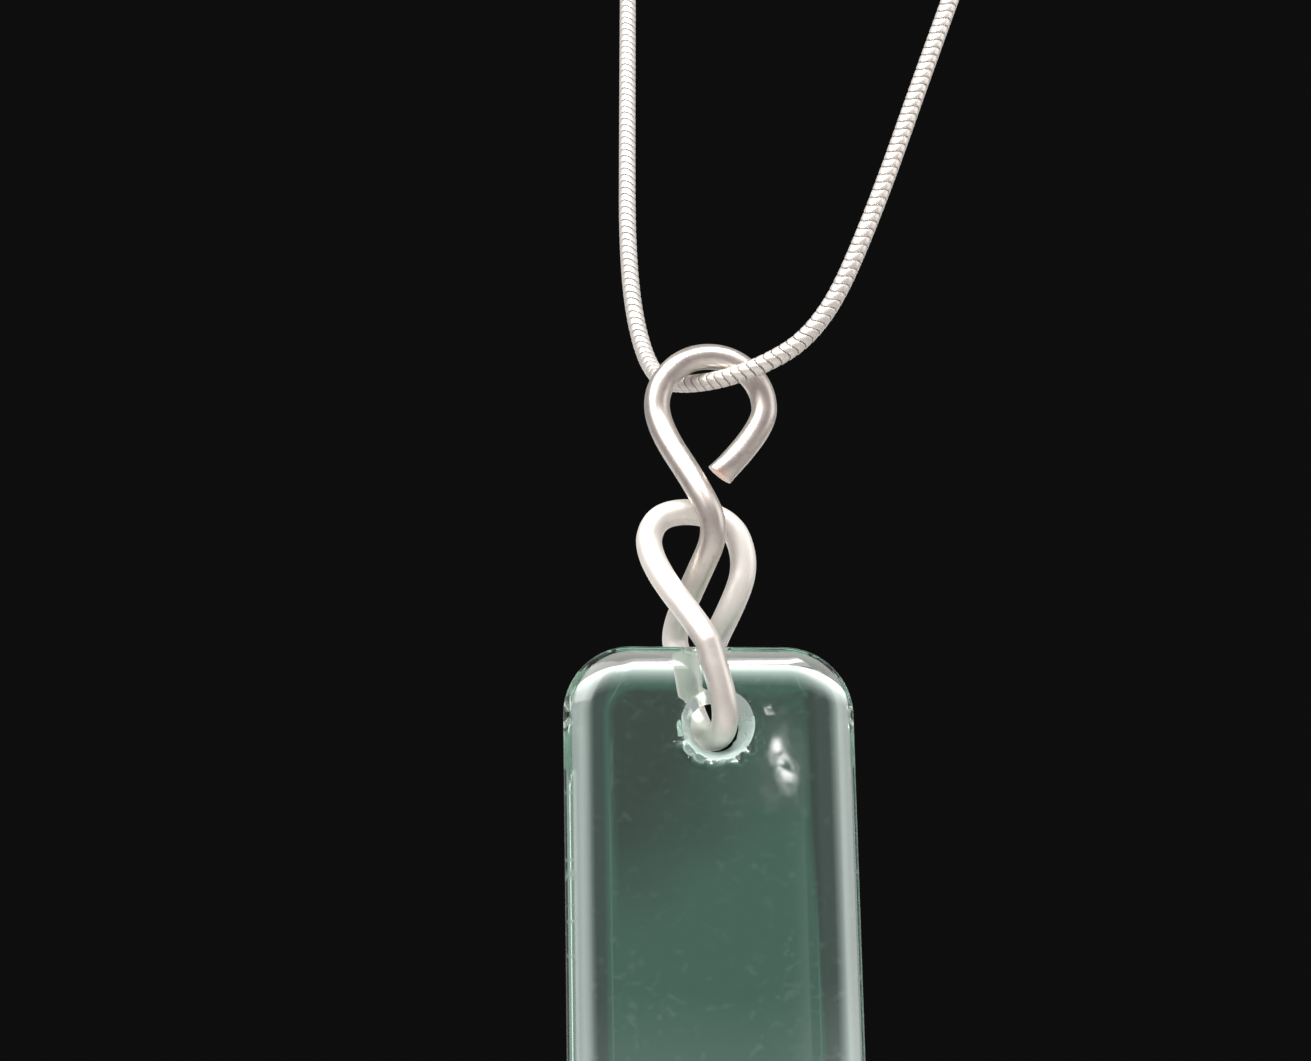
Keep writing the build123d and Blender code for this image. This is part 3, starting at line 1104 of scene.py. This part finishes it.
def panel_colour(tree, direction, sideways, height):
    """The panel: green at its foot, darker at its top, grey at both sides, with two light bands."""
    level = calculate(tree, "SUBTRACT", height, calculate(tree, "MULTIPLY", sideways, PANEL_LEAN))
    patches = noise_pattern(tree, direction, scale=14.0, detail=3.0)
    shift = map_range(tree, patches, *NOISE_RANGE, -PANEL_UNEVEN, PANEL_UNEVEN)
    upwards = map_range(tree, calculate(tree, "ADD", level, shift), *PANEL_DARKENS)
    panel = mix_colours(tree, upwards, PANEL_FOOT, PANEL_TOP)
    off_middle = calculate(tree, "ABSOLUTE", calculate(tree, "SUBTRACT", sideways, PANEL_MIDDLE))
    panel = mix_colours(tree, map_range(tree, off_middle, *PANEL_GREYS), panel, PANEL_SIDES)
    off_band = calculate(tree, "ABSOLUTE", calculate(tree, "SUBTRACT", off_middle, BAND_PLACE))
    across_band = map_range(tree, off_band, BAND_WIDTH, 0.0)
    band = calculate(tree, "MULTIPLY", across_band, map_range(tree, level, *BAND_FADES))
    return mix_colours(tree, band, panel, PANEL_BAND, "ADD")


def add_world():
    """A dim backdrop to the eye, and to all else a soft grey room with a dark green panel behind."""
    world = bpy.data.worlds.new("studio_room")
    world.use_nodes = True
    bpy.context.scene.world = world
    tree = world.node_tree
    direction = add_node(tree, "ShaderNodeTexCoord").outputs["Generated"]
    facing = dot_product(tree, direction, -direction_to(CAMERA_AZIMUTH, -SIGHT_RISE))
    to_the_right = (cos(CAMERA_AZIMUTH), sin(CAMERA_AZIMUTH), 0)
    sideways = dot_product(tree, direction, to_the_right)
    height = add_node(tree, "ShaderNodeSeparateXYZ", {"Vector": direction}).outputs["Z"]
    room = colour_ramp(tree, facing, ROOM_RINGS)
    panel = panel_colour(tree, direction, sideways, height)
    room = mix_colours(tree, map_range(tree, facing, *PANEL_EDGE), room, panel)
    glow = colour_ramp(tree, map_range(tree, height, *GLOW_EDGES), GLOW_STOPS)
    glow_share = map_range(tree, facing, *GLOW_REACH)
    room = mix_colours(tree, glow_share, room, glow, "ADD")
    to_the_left = map_range(tree, sideways, *GLOW_LEFT, 0.0, GLOW_LEFT_SHARE)
    room = mix_colours(tree, calculate(tree, "MULTIPLY", glow_share, to_the_left), room, glow, "ADD")
    seen = add_node(tree, "ShaderNodeLightPath").outputs["Is Camera Ray"]
    tree.links.new(mix_colours(tree, seen, room, BACKDROP), tree.nodes["Background"].inputs["Color"])


class PENDANT_OT_studio_stage(Operator):
    """Adds the floor, the soft lights, the room and the camera."""

    bl_idname = "pendant.studio_stage"
    bl_label = "Studio stage"

    def execute(self, context):
        deselect_all()
        add_camera()
        add_floor(context.scene.pendant_finishes)
        for light in SOFT_LIGHTS:
            add_soft_light(light)
        add_world()
        context.scene.view_settings.view_transform = "Standard"
        return {"FINISHED"}


class PENDANT_PT_pieces(Panel):
    """Lists the pendant's pieces and their sizes."""

    bl_idname = "PENDANT_PT_pieces"
    bl_label = "Glass bar pendant"
    bl_space_type = "VIEW_3D"
    bl_region_type = "UI"
    bl_category = "Pendant"

    def draw(self, context):
        scene = context.scene
        for settings, operators in (
            (scene.glass_bar_sizes, ("glass_bar",)),
            (scene.bail_sizes, ("wire_bail",)),
            (scene.chain_sizes, ("snake_chain", "barrel_clasp")),
            (scene.pendant_finishes, ("studio_stage",)),
        ):
            box = self.layout.box()
            for name in settings.__annotations__:
                box.prop(settings, name)
            for name in operators:
                box.operator(f"pendant.{name}")


SETTINGS = (
    ("glass_bar_sizes", GlassBarSizes),
    ("bail_sizes", BailSizes),
    ("chain_sizes", ChainSizes),
    ("pendant_finishes", Finishes),
)
CLASSES = (
    PENDANT_OT_studio_stage,
    PENDANT_OT_glass_bar,
    PENDANT_OT_wire_bail,
    PENDANT_OT_snake_chain,
    PENDANT_OT_barrel_clasp,
    PENDANT_PT_pieces,
)


def register():
    """Registers the settings, the operators and the panel."""
    for name, group in SETTINGS:
        bpy.utils.register_class(group)
        setattr(bpy.types.Scene, name, PointerProperty(type=group))
    for listed in CLASSES:
        bpy.utils.register_class(listed)


def unregister():
    """Takes away what register added."""
    for listed in reversed(CLASSES):
        bpy.utils.unregister_class(listed)
    for name, group in reversed(SETTINGS):
        delattr(bpy.types.Scene, name)
        bpy.utils.unregister_class(group)


def main():
    """Builds every piece in order."""
    register()
    bpy.ops.pendant.studio_stage()
    bpy.ops.pendant.glass_bar()
    bpy.ops.pendant.wire_bail()
    bpy.ops.pendant.snake_chain()
    bpy.ops.pendant.barrel_clasp()


if __name__ == "__main__":
    main()
